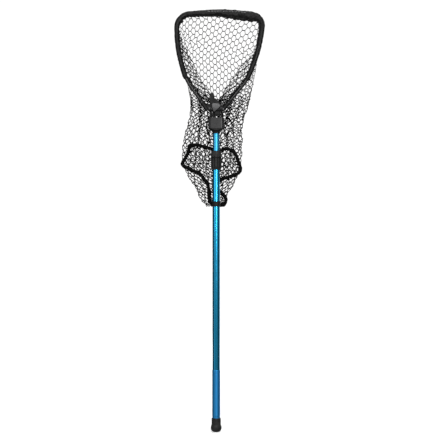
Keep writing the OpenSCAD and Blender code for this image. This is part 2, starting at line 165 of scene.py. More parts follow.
area_light("key", (0.9, -5.2, 1.32), (0, 0, 0.8), (0.30, 1.3), 62)
area_light("fill_left", (-2.6, -2.4, 1.6), (0, 0, 0.9), (1.2, 2.0), 14)
area_light("back_soft", (0.8, 3.2, 1.8), (0, 0, 0.8), (1.6, 2.2), 26)
sun = bpy.data.lights.new("overhead", "SUN")
sun.energy, sun.angle = 1.6, math.radians(35)
sun_o = bpy.data.objects.new("overhead", sun)
scene.collection.objects.link(sun_o)
sun_o.rotation_euler = (math.radians(12), math.radians(6), 0)


# ------------------------------------------------------------------ mesh helpers
def mesh_object(name, verts, faces, mat=None, smooth=True):
    """verts in millimetres; faces an (n, 3) or (n, 4) integer array"""
    verts = np.asarray(verts, np.float64) * MM
    faces = np.asarray(faces, np.int32)
    k = faces.shape[1]
    m = bpy.data.meshes.new(name)
    m.vertices.add(len(verts))
    m.vertices.foreach_set("co", verts.astype(np.float32).ravel())
    m.loops.add(faces.size)
    m.loops.foreach_set("vertex_index", faces.ravel())
    m.polygons.add(len(faces))
    m.polygons.foreach_set("loop_start", np.arange(0, faces.size, k, dtype=np.int32))
    m.polygons.foreach_set("loop_total", np.full(len(faces), k, np.int32))
    m.polygons.foreach_set("use_smooth", np.full(len(faces), smooth))
    m.update(calc_edges=True)
    m.validate()
    o = bpy.data.objects.new(name, m)
    scene.collection.objects.link(o)
    if mat:
        m.materials.append(mat)
    return o


def frames_along(p, closed=False):
    """tangents and two normals carried along a polyline without twist"""
    n = len(p)
    if closed:
        t = np.roll(p, -1, 0) - np.roll(p, 1, 0)
    else:
        t = np.gradient(p, axis=0)
    t /= np.maximum(np.linalg.norm(t, axis=1, keepdims=True), 1e-9)
    a = np.zeros_like(t)
    ref = np.array([0, 0, 1.0]) if abs(t[0, 2]) < 0.8 else np.array([1.0, 0, 0])
    v = ref - t[0] * (ref @ t[0])
    v /= np.linalg.norm(v)
    for i in range(n):
        v = v - t[i] * (v @ t[i])
        v /= max(np.linalg.norm(v), 1e-9)
        a[i] = v
    if closed:   # spread the leftover twist round the loop
        b0 = np.cross(t[0], a[0])
        v = a[-1] - t[0] * (a[-1] @ t[0])
        ang = math.atan2(v @ b0, v @ a[0])
        for i in range(n):
            th = -ang * i / n
            b = np.cross(t[i], a[i])
            a[i] = a[i] * math.cos(th) + b * math.sin(th)
    return t, a, np.cross(t, a)


class Bundle:
    """collects many thin tubes into one mesh"""

    def __init__(self):
        self.v, self.f, self.n = [], [], 0

    def tube(self, p, r, sides=5, closed=False, cap=True):
        p = np.asarray(p, float)
        if len(p) < 2:
            return
        r = np.broadcast_to(np.asarray(r, float), (len(p),))
        _, a, b = frames_along(p, closed)
        th = np.arange(sides) * 2 * math.pi / sides
        ring = p[:, None, :] + r[:, None, None] * (np.cos(th)[None, :, None] * a[:, None, :] + np.sin(th)[None, :, None] * b[:, None, :])
        base = self.n
        self.v.append(ring.reshape(-1, 3))
        m = len(p)
        i = np.arange(m if closed else m - 1)[:, None]
        k = np.arange(sides)[None, :]
        j = (i + 1) % m
        kk = (k + 1) % sides
        q = np.stack(np.broadcast_arrays(i * sides + k, i * sides + kk, j * sides + kk, j * sides + k), -1).reshape(-1, 4) + base
        tri = np.concatenate([q[:, [0, 1, 2]], q[:, [0, 2, 3]]])
        self.f.append(tri)
        self.n += m * sides
        if cap and not closed:
            for e, o in ((0, -1), (m - 1, 1)):
                self.v.append(p[e][None, :])
                c = self.n
                self.n += 1
                ks = np.arange(sides)
                ring_i = base + e * sides + ks
                nxt = base + e * sides + (ks + 1) % sides
                self.f.append(np.stack([np.full(sides, c), ring_i, nxt] if o > 0 else [np.full(sides, c), nxt, ring_i], -1))

    def make(self, name, mat, smooth=True):
        return mesh_object(name, np.concatenate(self.v), np.concatenate(self.f), mat, smooth)


def smoothstep(x, a, b):
    t = np.clip((x - a) / (b - a), 0, 1)
    return t * t * (3 - 2 * t)


def catmull(pts, per, closed=False):
    pts = np.asarray(pts, float)
    n = len(pts)
    res = []
    segs = n if closed else n - 1
    for i in range(segs):
        if closed:
            p0, p1, p2, p3 = pts[(i - 1) % n], pts[i], pts[(i + 1) % n], pts[(i + 2) % n]
        else:
            p1, p2 = pts[i], pts[i + 1]
            p0 = pts[i - 1] if i else 2 * p1 - p2
            p3 = pts[i + 2] if i + 2 < n else 2 * p2 - p1
        d1, d2, d3 = (max(np.linalg.norm(b - a), 1e-6) ** 0.5 for a, b in ((p0, p1), (p1, p2), (p2, p3)))
        m1 = (p1 - p0) / d1 - (p2 - p0) / (d1 + d2) + (p2 - p1) / d2
        m2 = (p2 - p1) / d2 - (p3 - p1) / (d2 + d3) + (p3 - p2) / d3
        m1, m2 = m1 * d2, m2 * d2
        t = (np.arange(per) / per)[:, None]
        res.append((2 * t**3 - 3 * t**2 + 1) * p1 + (t**3 - 2 * t**2 + t) * m1 + (-2 * t**3 + 3 * t**2) * p2 + (t**3 - t**2) * m2)
    if not closed:
        res.append(pts[-1:])
    return np.concatenate(res)


def even(p, step=None, n=None, closed=False):
    """the same polyline with evenly spaced points"""
    q = np.concatenate([p, p[:1]]) if closed else p
    s = np.concatenate([[0], np.cumsum(np.linalg.norm(np.diff(q, axis=0), axis=1))])
    n = n or max(2, int(round(s[-1] / step)) + (0 if closed else 1))
    at = np.linspace(0, s[-1], n + 1)[:-1] if closed else np.linspace(0, s[-1], n)
    return np.stack([np.interp(at, s, q[:, k]) for k in range(q.shape[1])], -1)


def wob(x, y, z, scale, seed=0.0):
    return noise.noise(Vector((x / scale + seed, y / scale - seed, z / scale + 0.37 * seed)))


# ------------------------------------------------------------------ materials
def lin(c):
    return tuple((v / 255 / 12.92 if v / 255 <= 0.04045 else ((v / 255 + 0.055) / 1.055) ** 2.4) for v in c)


class Mat:
    """a Principled material with small helpers for its procedural detail"""

    def __init__(self, name, base, rough, metal=0.0, **sockets):
        self.m = bpy.data.materials.new(name)
        self.m.use_nodes = True
        self.t = self.m.node_tree
        self.p = self.t.nodes["Principled BSDF"]
        self.base = base
        self.p.inputs["Base Color"].default_value = (*base, 1)
        self.p.inputs["Roughness"].default_value = rough
        self.p.inputs["Metallic"].default_value = metal
        for k, v in sockets.items():
            self.p.inputs[k.replace("_", " ")].default_value = v
        self.normal = None
        self.coord = self.node("ShaderNodeTexCoord").outputs["Object"]

    def node(self, kind, **kw):
        n = self.t.nodes.new(kind)
        for k, v in kw.items():
            setattr(n, k, v)
        return n

    def link(self, a, b):
        self.t.links.new(a, b)

    def mapped(self, scale=(1, 1, 1), rot=(0, 0, 0)):
        n = self.node("ShaderNodeMapping")
        n.inputs["Scale"].default_value = scale
        n.inputs["Rotation"].default_value = rot
        self.link(self.coord, n.inputs["Vector"])
        return n.outputs[0]

    def noise(self, scale, detail=4, rough=0.5, vec=None):
        n = self.node("ShaderNodeTexNoise")
        n.inputs["Scale"].default_value = scale
        n.inputs["Detail"].default_value = detail
        n.inputs["Roughness"].default_value = rough
        self.link(vec or self.coord, n.inputs["Vector"])
        return n.outputs["Fac"]

    def ramp(self, fac, stops):
        n = self.node("ShaderNodeValToRGB")
        e = n.color_ramp.elements
        while len(e) < len(stops):
            e.new(0.5)
        for el, (pos, col) in zip(e, stops):
            el.position, el.color = pos, (*col, 1)
        self.link(fac, n.inputs["Fac"])
        return n.outputs["Color"]

    def colour(self, fac, stops):
        self.link(self.ramp(fac, stops), self.p.inputs["Base Color"])

    def rough(self, fac, lo, hi, a=0.3, b=0.7):
        n = self.node("ShaderNodeMapRange")
        for k, v in (("From Min", a), ("From Max", b), ("To Min", lo), ("To Max", hi)):
            n.inputs[k].default_value = v
        self.link(fac, n.inputs["Value"])
        self.link(n.outputs[0], self.p.inputs["Roughness"])

    def bump(self, height, dist, strength=1.0):
        n = self.node("ShaderNodeBump")
        n.inputs["Strength"].default_value = strength
        n.inputs["Distance"].default_value = dist
        self.link(height, n.inputs["Height"])
        if self.normal is not None:
            self.link(self.normal, n.inputs["Normal"])
        self.normal = n.outputs[0]
        self.link(self.normal, self.p.inputs["Normal"])

    def bevel(self, radius):
        n = self.node("ShaderNodeBevel", samples=6)
        n.inputs["Radius"].default_value = radius
        self.normal = n.outputs[0]
        self.link(self.normal, self.p.inputs["Normal"])


def anodised(name, base, deep, rough=0.2, coat=0.0):
    m = Mat(name, base, rough, 1.0, Coat_Weight=coat, Coat_Roughness=0.085)
    brushed = m.noise(700, 3, 0.6, m.mapped((1, 1, 0.03)))
    cloud = m.noise(5, 2, 0.4, m.mapped((1, 1, 0.25)))
    m.colour(cloud, [(0.25, deep), (0.75, base)])
    m.rough(brushed, rough - 0.015, rough + 0.03)
    m.bump(m.noise(160, 3, 0.5, m.mapped((1, 1, 0.05))), 0.000004, 0.15)
    return m.m


def plastic(name, base, rough, grain=0.00004, bevel=0.0007, light=1.5, spec=0.45):
    m = Mat(name, base, rough, 0.0, Specular_IOR_Level=spec)
    if bevel:
        m.bevel(bevel)
    cloud = m.noise(28, 3)
    fine = m.noise(1500, 2, 0.6)
    m.colour(cloud, [(0.3, base), (0.75, tuple(c * light for c in base))])
    m.rough(m.noise(60, 4), rough - 0.07, rough + 0.1)
    m.bump(fine, grain, 0.6)
    return m.m


M = {}
M["outer"] = anodised("anodised blue", lin((38, 160, 206)), lin((33, 151, 199)), 0.15, 0.22)
M["inner"] = anodised("anodised bright blue", lin((68, 166, 212)), lin((62, 160, 206)), 0.36)


def grip_mat():
    m = Mat("satin blue grip", (0.025, 0.236, 0.54), 0.42, 0.88, Specular_IOR_Level=0.3)
    cloud = m.noise(10, 3, 0.5, m.mapped((1, 1, 0.4)))
    m.colour(cloud, [(0.3, (0.021, 0.215, 0.51)), (0.7, (0.029, 0.25, 0.57))])
    fine = m.noise(1100, 3, 0.6)
    m.rough(m.noise(70, 4), 0.36, 0.46)
    m.bump(fine, 0.00002, 0.5)
    return m.m


M["grip"] = grip_mat()


def rubber_mat():
    m = Mat("black rubber", (0.008, 0.008, 0.008), 0.62, 0.0, Specular_IOR_Level=0.3)
    m.bevel(0.0008)
    cloud = m.noise(55, 5, 0.6)
    m.colour(cloud, [(0.35, (0.005, 0.005, 0.005)), (0.72, (0.015, 0.015, 0.0147))])
    m.rough(m.noise(90, 4), 0.5, 0.75)
    m.bump(m.noise(420, 5, 0.6), 0.00012, 0.7)
    return m.m


M["rubber"] = rubber_mat()
M["black"] = plastic("black moulded plastic", (0.0035, 0.0035, 0.0036), 0.5, spec=0.22)
M["grey"] = plastic("dark grey moulded plastic", (0.010, 0.010, 0.0105), 0.25, light=1.3, spec=0.26)


def boss_mat(foot, top):
    """grey plastic, painted paler towards its top edge as a highlight from the light above, with random mottling"""
    m = Mat("grey moulded plastic", (0.05, 0.05, 0.052), 0.36, 0.0, Specular_IOR_Level=0.35)
    m.bevel(0.0009)
    xyz = m.node("ShaderNodeSeparateXYZ")
    m.link(m.coord, xyz.inputs[0])
    # painted highlight: the colour grows paler with height, as if lit from above
    up = m.node("ShaderNodeMapRange")
    up.inputs["From Min"].default_value, up.inputs["From Max"].default_value = foot, top
    up.inputs["To Min"].default_value, up.inputs["To Max"].default_value = 0.0, 0.62
    m.link(xyz.outputs[2], up.inputs["Value"])
    # random mottling plus the painted highlight towards the top
    tone_and_painted_highlight = m.node("ShaderNodeMath", operation="MULTIPLY_ADD")
    m.link(m.noise(90, 4, 0.6), tone_and_painted_highlight.inputs[0])
    tone_and_painted_highlight.inputs[1].default_value = 0.45
    m.link(up.outputs[0], tone_and_painted_highlight.inputs[2])
    m.colour(tone_and_painted_highlight.outputs[0], [(0.15, (0.012, 0.012, 0.013)), (0.5, (0.045, 0.045, 0.046)), (0.9, (0.13, 0.13, 0.132))])
    m.rough(m.noise(60, 4), 0.3, 0.48)
    m.bump(m.noise(1500, 2, 0.6), 0.00004, 0.6)
    m.bump(m.noise(130, 3, 0.5), 0.0005, 0.4)
    return m.m


M["boss"] = boss_mat(1.056, 1.087)


def collar_mat(ribs, first, top, foot):
    """a turned and fluted plastic: darker at random, with painted shade at the foot of each flute and in the parting
    groove, so the lands read lighter
    """
    m = Mat("lock collar plastic", (0.010, 0.010, 0.010), 0.4, 0.0, Specular_IOR_Level=0.16)
    m.bevel(0.0007)
    xyz = m.node("ShaderNodeSeparateXYZ")
    m.link(m.coord, xyz.inputs[0])

    def calc(op, a, b=None, c=None):
        n = m.node("ShaderNodeMath", operation=op)
        for k, v in enumerate((a, b, c)):
            if v is None:
                continue
            if isinstance(v, (int, float)):
                n.inputs[k].default_value = v
            else:
                m.link(v, n.inputs[k])
        return n.outputs[0]

    turn = calc("MULTIPLY_ADD", calc("ARCTAN2", xyz.outputs[1], xyz.outputs[0]), ribs / (2 * math.pi), 40 - first * ribs / 360)
    near = calc("ABSOLUTE", calc("SUBTRACT", calc("FRACT", calc("ADD", turn, 0.5)), 0.5))
    high = calc("MULTIPLY", calc("GREATER_THAN", xyz.outputs[2], foot), calc("LESS_THAN", xyz.outputs[2], top))
    split = calc("MULTIPLY", calc("GREATER_THAN", xyz.outputs[2], 0.8826), calc("LESS_THAN", xyz.outputs[2], 0.8864))
    # painted shade: a mask of the flute feet and the parting groove, where shade falls
    groove = calc("MAXIMUM", calc("MULTIPLY", calc("LESS_THAN", near, 0.17), high), split)
    # random tone, darkened by the painted shade in the grooves
    m.colour(calc("MULTIPLY_ADD", groove, -0.8, calc("MULTIPLY_ADD", m.noise(40, 4), 0.35, 0.62)),
             [(0.0, (0.001, 0.001, 0.001)), (0.3, (0.003, 0.003, 0.003)), (0.65, (0.012, 0.012, 0.012)), (1.0, (0.030, 0.030, 0.030))])
    m.rough(calc("MULTIPLY_ADD", groove, 0.5, m.noise(60, 4)), 0.34, 0.62, 0.3, 1.2)
    m.bump(m.noise(1500, 2, 0.6), 0.00004, 0.6)
    return m.m


M["lock"] = collar_mat(13, -79.2, 0.892, 0.846)
M["nylon"] = plastic("natural nylon", (0.62, 0.61, 0.56), 0.4, bevel=0.0003, light=1.1)


def steel_mat():
    m = Mat("blackened steel", (0.05, 0.05, 0.052), 0.38, 1.0)
    m.bevel(0.0003)
    n = m.noise(500, 4, 0.6)
    m.colour(m.noise(40, 3), [(0.3, (0.035, 0.035, 0.036)), (0.7, (0.07, 0.07, 0.072))])
    m.rough(n, 0.24, 0.42)
    m.bump(n, 0.00002, 0.4)
    return m.m


M["steel"] = steel_mat()


def gloss_mat():
    m = Mat("gloss black tube", (0.005, 0.005, 0.005), 0.26, 0.0, Specular_IOR_Level=0.5, Coat_Weight=0.8, Coat_Roughness=0.07)
    m.colour(m.noise(30, 3), [(0.3, (0.002, 0.002, 0.002)), (0.7, (0.005, 0.005, 0.005))])
    m.rough(m.noise(80, 4), 0.16, 0.28)
    m.bump(m.noise(260, 4), 0.00004, 0.5)
    return m.m


M["gloss"] = gloss_mat()


def hem_mat():
    m = Mat("hem nylon", (0.003, 0.003, 0.003), 0.42, 0.0, Specular_IOR_Level=0.21)
    m.colour(m.noise(26, 4), [(0.3, (0.0012, 0.0012, 0.0012)), (0.72, (0.0045, 0.0045, 0.0045))])
    w1 = m.node("ShaderNodeTexWave", wave_type="BANDS", bands_direction="X")
    w1.inputs["Scale"].default_value = 420
    w2 = m.node("ShaderNodeTexWave", wave_type="BANDS", bands_direction="Z")
    w2.inputs["Scale"].default_value = 420
    for w in (w1, w2):
        w.inputs["Distortion"].default_value = 0.6
        m.link(m.coord, w.inputs["Vector"])
    mx = m.node("ShaderNodeMath", operation="MULTIPLY")
    m.link(w1.outputs["Fac"], mx.inputs[0])
    m.link(w2.outputs["Fac"], mx.inputs[1])
    m.rough(m.noise(50, 4), 0.24, 0.44)
    m.bump(m.noise(90, 5, 0.6), 0.0014, 0.7)
    m.bump(mx.outputs[0], 0.00012, 0.7)
    return m.m


M["hem"] = hem_mat()


def net_mat():
    m = Mat("coated netting", (0.002, 0.002, 0.002), 0.55, 0.0, Specular_IOR_Level=0.10)
    m.colour(m.noise(60, 4), [(0.3, (0.0012, 0.0012, 0.0012)), (0.75, (0.004, 0.004, 0.004))])
    m.rough(m.noise(150, 3), 0.42, 0.62)
    m.bump(m.noise(1200, 3), 0.00005, 0.6)
    return m.m


M["net"] = net_mat()


def cord_mat():
    m = Mat("seam binding", (0.0015, 0.0015, 0.0015), 0.8, 0.0, Specular_IOR_Level=0.08)
    m.colour(m.noise(70, 4), [(0.3, (0.0008, 0.0008, 0.0008)), (0.75, (0.0028, 0.0028, 0.0028))])
    m.rough(m.noise(120, 3), 0.65, 0.85)
    m.bump(m.noise(900, 4, 0.65), 0.0003, 0.8)
    return m.m


M["cord"] = cord_mat()
# pale grey top stitch thread: a stitch row whose paleness is a painted glint on the hem's top edge
M["thread_light"] = plastic("top stitch thread with painted glint", (0.20, 0.20, 0.205), 0.4, bevel=0, light=1.5)
M["thread"] = plastic("stitch thread", (0.035, 0.035, 0.036), 0.5, bevel=0, light=1.6)

NODE_MAT = {"outer_tube": "outer", "grip_sleeve": "grip", "butt_cap": "rubber", "keeper_ring": "black", "lock_base": "black",
            "lock_collet": "nylon", "lock_collar": "lock", "guide_bush": "nylon", "inner_plug": "black", "inner_tube": "inner",
            "head_body": "black", "head_rivets": "steel", "hinge_pin": "steel", "hinge_nut": "steel", "hinge_washers": "steel",
            "lock_sleeve": "grey", "yoke": "black", "yoke_boss": "boss", "arm_rivets": "steel", "hoop_tube": "gloss"}
for name, key in NODE_MAT.items():
    o = nodes[name]
    if not o.material_slots:
        o.data.materials.append(M[key])
    for s in o.material_slots:
        s.material = M[key]

floor_mat = Mat("pale floor", (0.9, 0.9, 0.9), 0.8, 0.0, Emission_Strength=0.42)
floor_mat.p.inputs["Emission Color"].default_value = (1, 1, 1, 1)
floor_mat.colour(floor_mat.noise(0.6, 2), [(0.2, (0.9, 0.9, 0.9)), (0.8, (0.93, 0.93, 0.93))])
zf = cad_box[0][2] * 1000
floor = mesh_object("floor", [(-30000, -30000, zf), (30000, -30000, zf), (30000, 30000, zf), (-30000, 30000, zf)], [(0, 1, 2, 3)], floor_mat.m, False)
floor.visible_glossy = False

# ------------------------------------------------------------------ the hoop's centre line, as the CAD has it
lens = np.array([110, 45, 60, 130, 46 * 88 * math.pi / 180, 117])
cum = np.concatenate([[0], np.cumsum(lens)])
head_s = [0, cum[1], cum[2], cum[3], cum[4], cum[5], cum[6]]
head_a = [37.5, 37.5, 21, 17, 2, -86, -90]
HN = 540
hs = np.linspace(0, cum[6], HN + 1)
mid = np.radians(np.interp((hs[1:] + hs[:-1]) / 2, head_s, head_a))
step = hs[1] - hs[0]
half = np.concatenate([[[30, 0]], np.array([30, 0]) + np.cumsum(np.stack([np.sin(mid), np.cos(mid)], -1) * step, 0)])


def lean(w):
    return -4.5 + 0.055 * w


left = np.stack([-half[:, 0] + lean(half[:, 1]), np.zeros(HN + 1), HZ + half[:, 1]], -1)
right = np.stack([half[:, 0] + lean(half[:, 1]), np.zeros(HN + 1), HZ + half[:, 1]], -1)
hoop_line = np.concatenate([left, right[-2::-1]])
w_top = float(half[-1, 1])
arm_u = lambda w: np.interp(w, half[:, 1], half[:, 0])

# ------------------------------------------------------------------ shape of the bag: edges and depth against height above the hinge
edge_l = np.array([[-366, -34], [-345, -55], [-320, -68], [-285, -86], [-253, -106], [-210, -129], [-170, -132], [-130, -131],
                   [-77, -119], [-58, -113], [-32, -106], [-9, -101], [19, -100], [54, -101], [92, -109], [134, -118], [184, -137], [234, -146], [291, -152], [324, -150], [364, -120]], float)
edge_r = np.array([[-366, 28], [-340, 38], [-320, 41], [-285, 66], [-260, 78], [-230, 91], [-170, 100], [-130, 101],
                   [-99, 102], [-77, 97], [-35, 107], [-9, 113], [19, 122], [47, 129], [74, 134], [99, 141], [126, 146], [150, 152], [176, 157], [184, 152], [234, 162], [291, 176], [324, 174], [364, 140]], float)
depth_t = np.array([[-366, 52], [-320, 66], [-220, 86], [-120, 98], [-31, 104], [19, 102], [84, 92], [184, 66], [284, 36], [352, 14], [364, 9]], float)
interp = lambda w, t: np.interp(w, t[:, 0], t[:, 1])


FOLD_L = np.array([[0, 28], [45, 42], [62, 47], [85, 52], [111, 50], [160, 46], [200, 35], [235, 21], [262, 9], [285, 0]], float)
FOLD_R = np.array([[0, 18], [35, 28], [62, 44], [85, 58], [111, 58], [160, 48], [185, 36], [210, 12], [222, 0]], float)
PLEAT = np.array([[-366, 0.3], [-320, 0.45], [-250, 0.4], [-200, 0.45], [-150, 0.62], [-110, 0.95], [-60, 1.35], [-10, 1.3], [30, 0.8], [60, 0.3], [105, 0.12], [150, 0.05], [364, 0.03]], float)


def section(w, n=420):
    """one horizontal section of the bag, from its left end over the back to its right end"""
    el, er, dp = interp(w, edge_l), interp(w, edge_r), interp(w, depth_t)
    fl_, fr_ = interp(w, FOLD_L), interp(w, FOLD_R)
    if w >= 0:
        u = float(arm_u(min(w, w_top)))
        xl, xr, ye = -u + lean(w), u + lean(w), 4.0
        f, g = np.clip((w - 110) / 45, 0, 1), np.clip((w - 165) / 25, 0, 1)
        el = el * (1 - f) + (xl - 3) * f
        er = er * (1 - g) + (xr + 3) * g
    else:
        t = min(-w / 44, 1)
        kx, ky = float(smoothstep(-w, 8, 108)), float(smoothstep(t, 0, 0.6))
        xl, xr = -34.5 * (1 - kx) - 1.0 * kx, 25.5 * (1 - kx) + 1.0 * kx
        ye = 4 * (1 - ky) + 31.5 * ky
    k = float(smoothstep(w, 60, 160))
    fl = (1 - k) * 0.5 + k * 0.36
    yl = ye + (dp - ye) * fl
    xc = (el + er) / 2
    yb = ye + (dp - ye) * (0.86 - 0.06 * k)
    dy = (dp - ye)

    def flank(x0, e, fold, sg):
        # from the bar inward to the fold's tip, back out to the outline
        a = [(x0, ye)]
        if w < 0:
            k2 = float(smoothstep(-w, 0, 95))
            p1 = x0 * (1 - k2) + e * 0.34 * k2
            p2 = (x0 + sg * (28 if sg > 0 else 18)) * (1 - k2) + e * 0.66 * k2
            a += [((x0 + p1) / 2, ye + dy * 0.02), (p1, ye + dy * 0.05), ((p1 + p2) / 2, ye + dy * 0.11), (p2, ye + dy * 0.18),
                  ((p2 + e) / 2, ye + dy * 0.26)]
        elif fold > 1:
            a += [(x0 + sg * fold * 0.55, ye + dy * 0.10), (x0 + sg * fold, ye + dy * 0.19), (x0 + sg * fold * 0.5, ye + dy * 0.27),
                  (x0 * 0.5 + e * 0.5, ye + dy * (0.30 + 0.08 * k))]
        else:
            a += [(x0 * 0.45 + e * 0.55, ye + dy * (0.10 + 0.1 * k))]
        a += [(e * 0.95 + x0 * 0.05, ye + (yl - ye) * 0.86), (e, yl + dy * 0.06)]
        return a

    pts = flank(xl, el, fl_, 1) + [(el + (xc - el) * 0.22, yb - dy * 0.10), (el + (xc - el) * 0.52, yb + (dp - yb) * 0.3), (xc, dp),
                                   (er + (xc - er) * 0.52, yb + (dp - yb) * 0.3), (er + (xc - er) * 0.22, yb - dy * 0.10)] + flank(xr, er, fr_, -1)[::-1]
    p = even(catmull(pts, 20), n=n)
    # pleats, all turned inward: the netting is gathered round the lower bag and below the hoop's foot
    s = np.concatenate([[0], np.cumsum(np.linalg.norm(np.diff(p, axis=0), axis=1))])
    c = int(np.argmin(np.hypot(p[:, 0] - xc, p[:, 1] - dp)))
    tt = np.where(s < s[c], (s - s[c]) / max(s[c], 1), (s - s[c]) / max(s[-1] - s[c], 1))
    half_len = s[-1] / 2
    fine_s = s
    lam = half_len / 6.5
    d = np.gradient(p, axis=0)
    d /= np.maximum(np.linalg.norm(d, axis=1, keepdims=True), 1e-9)
    nrm = np.stack([d[:, 1], -d[:, 0]], -1)
    if (nrm[c] @ np.array([0.0, 1.0])) < 0:
        nrm = -nrm
    off = np.abs(p[:, 0] - xc) / max((er - el) / 2, 1)
    mid_ = 1 - smoothstep(off, 0.55, 0.95)
    amp = lam * (0.30 * float(interp(w, PLEAT)) * mid_ + 0.035)
    ends = np.clip(np.minimum(s, s[-1] - s) / 22, 0, 1)
    # fine gathers in the strip beside the left bar, fewer beside the right one
    gl = np.clip(1 - (p[:, 0] - xl) / 74, 0, 1) * (p[:, 0] < xc) * float(smoothstep(w, 70, 120))
    gr = np.clip(1 - (xr - p[:, 0]) / 40, 0, 1) * (p[:, 0] > xc) * float(smoothstep(w, 70, 120)) * 0.5
    gather = (4.0 + 3.6 * float(smoothstep(w, 170, 220)) * (1 - float(smoothstep(w, 290, 345)))) * np.clip(1.4 * (gl + gr), 0, 1) * np.clip(np.minimum(s, s[-1] - s) / 8, 0, 1)
    amp = amp * ends
    drift = np.array([wob(3.2 * v_, w / 75, 0.0, 1.0, 4.4) + 0.5 * wob(7.1 * v_, w / 33, 0.0, 1.0, 9.1) for v_ in tt[::6]])
    drift = np.interp(np.arange(len(tt)), np.arange(len(tt))[::6], drift)
    ph = 2 * math.pi * 6.5 * tt + 0.8 * math.sin(w / 70) + 1.1 * np.sin(3.1 * tt + w / 120) + 2.6 * drift
    ph2 = 2.3 * ph + 1.7 * math.sin(w / 45 + 1)
    wave = 0.82 * np.sin(ph) + 0.18 * np.sin(ph2) - 1
    q = p + nrm * (amp * wave + gather * (np.sin(2 * math.pi * s / 15.0 + 2.0 * drift) - 1) / 1.6)[:, None] + d * (0.66 * amp * np.cos(ph))[:, None]
    if w < 20:
        q[:, 1] = np.maximum(q[:, 1], np.minimum(ye, 27.5))
    q[:, 1] = np.minimum(q[:, 1], 109)
    return q, c


W_LO, W_HI = -363.0, w_top - 1
levels = np.linspace(W_LO, W_HI, 150)
T_N = 900
t_grid = np.linspace(-1, 1, T_N)
grid = np.zeros((len(levels), T_N, 2))
s_lo, s_hi = np.zeros(len(levels)), np.zeros(len(levels))
for i, w in enumerate(levels):
    q, b = section(float(w))
    s = np.concatenate([[0], np.cumsum(np.linalg.norm(np.diff(q, axis=0), axis=1))])
    s = s - s[b]
    s_lo[i], s_hi[i] = s[0], s[-1]
    for k in range(2):
        grid[i, :, k] = np.interp(np.where(t_grid < 0, -t_grid * s[0], t_grid * s[-1]), s, q[:, k])
# even out the back centre's jitter between levels
ker = np.ones(7) / 7
pad = lambda a: np.concatenate([np.full(3, a[0]), a, np.full(3, a[-1])])
s_lo, s_hi = np.convolve(pad(s_lo), ker, "valid"), np.convolve(pad(s_hi), ker, "valid")


def on_bag(s, w):
    """points on the bag's surface for cloth coordinates s along the section and height w"""
    fw = np.clip((w - W_LO) / (W_HI - W_LO) * (len(levels) - 1), 0, len(levels) - 1.001)
    ts = np.clip(np.where(s < 0, -s / np.interp(w, levels, s_lo), s / np.interp(w, levels, s_hi)), -1, 1)
    fs = np.clip((ts + 1) / 2 * (T_N - 1), 0, T_N - 1.001)
    i, j = fw.astype(int), fs.astype(int)
    a, b = (fw - i)[:, None], (fs - j)[:, None]
    p = (grid[i, j] * (1 - a) * (1 - b) + grid[i + 1, j] * a * (1 - b) + grid[i, j + 1] * (1 - a) * b + grid[i + 1, j + 1] * a * b)
    return np.stack([p[:, 0], p[:, 1], HZ + w], -1)


# ------------------------------------------------------------------ netting: rows of zigzag strands that pair up at short links
CX, ROW, LINK = 13.7, 23.0, 0.27
NET_R = 1.13


def strand_r(w):
    """the coated strands are a little thicker towards the foot of the bag"""
    return NET_R + 0.36 * (1 - smoothstep(w, 20, 120))


def strand_profile():
    f = np.array([0.0, 0.24, 0.37, 0.63, 0.76])
    g = np.array([0.0, 0.0, 0.12, 0.88, 1.0])
    return f, g


def net_rows(to_cloth, i0, i1, m0, m1):
    """yields cloth coordinates of each zigzag strand"""
    f, g = strand_profile()
    for m in range(m0, m1):
        u, v, t = [], [], []
        for i in range(i0, i1):
            up = (i + m) % 2 != 0
            lo, hi = m * ROW / 2, (m + 1) * ROW / 2
            a, b = (hi, lo) if up else (lo, hi)
            u.extend((i + f) * CX)
            v.extend(a + (b - a) * g)
            t.extend([(-1 if up else 1)] * 2 + [0] + [0] + [(1 if up else -1)])
        u, v = np.array(u), np.array(v)
        # the two strands of a link lie one above the other
        v = v + 0.62 * np.array(t)
        yield to_cloth(u, v)


def bag_cloth(u, v):
    """lattice to cloth: the rows sink to the right and the columns lean, more on the right"""
    k = np.clip((u + 160) / 320, 0, 1)
    s = u + (0.06 + 0.17 * k) * (v - 180) * np.clip((v + 60) / 160, 0.25, 1)
    w = v - (0.05 + 0.12 * k) * u * np.clip((v + 100) / 200, 0.35, 1)
    w = w + 2.0 * np.sin(u / 61 + v / 97) + 1.2 * np.sin(u / 23 - v / 41)
    s = s + 1.8 * np.sin(v / 53 + u / 120) + 1.0 * np.sin(v / 19 + u / 37)
    return s, w


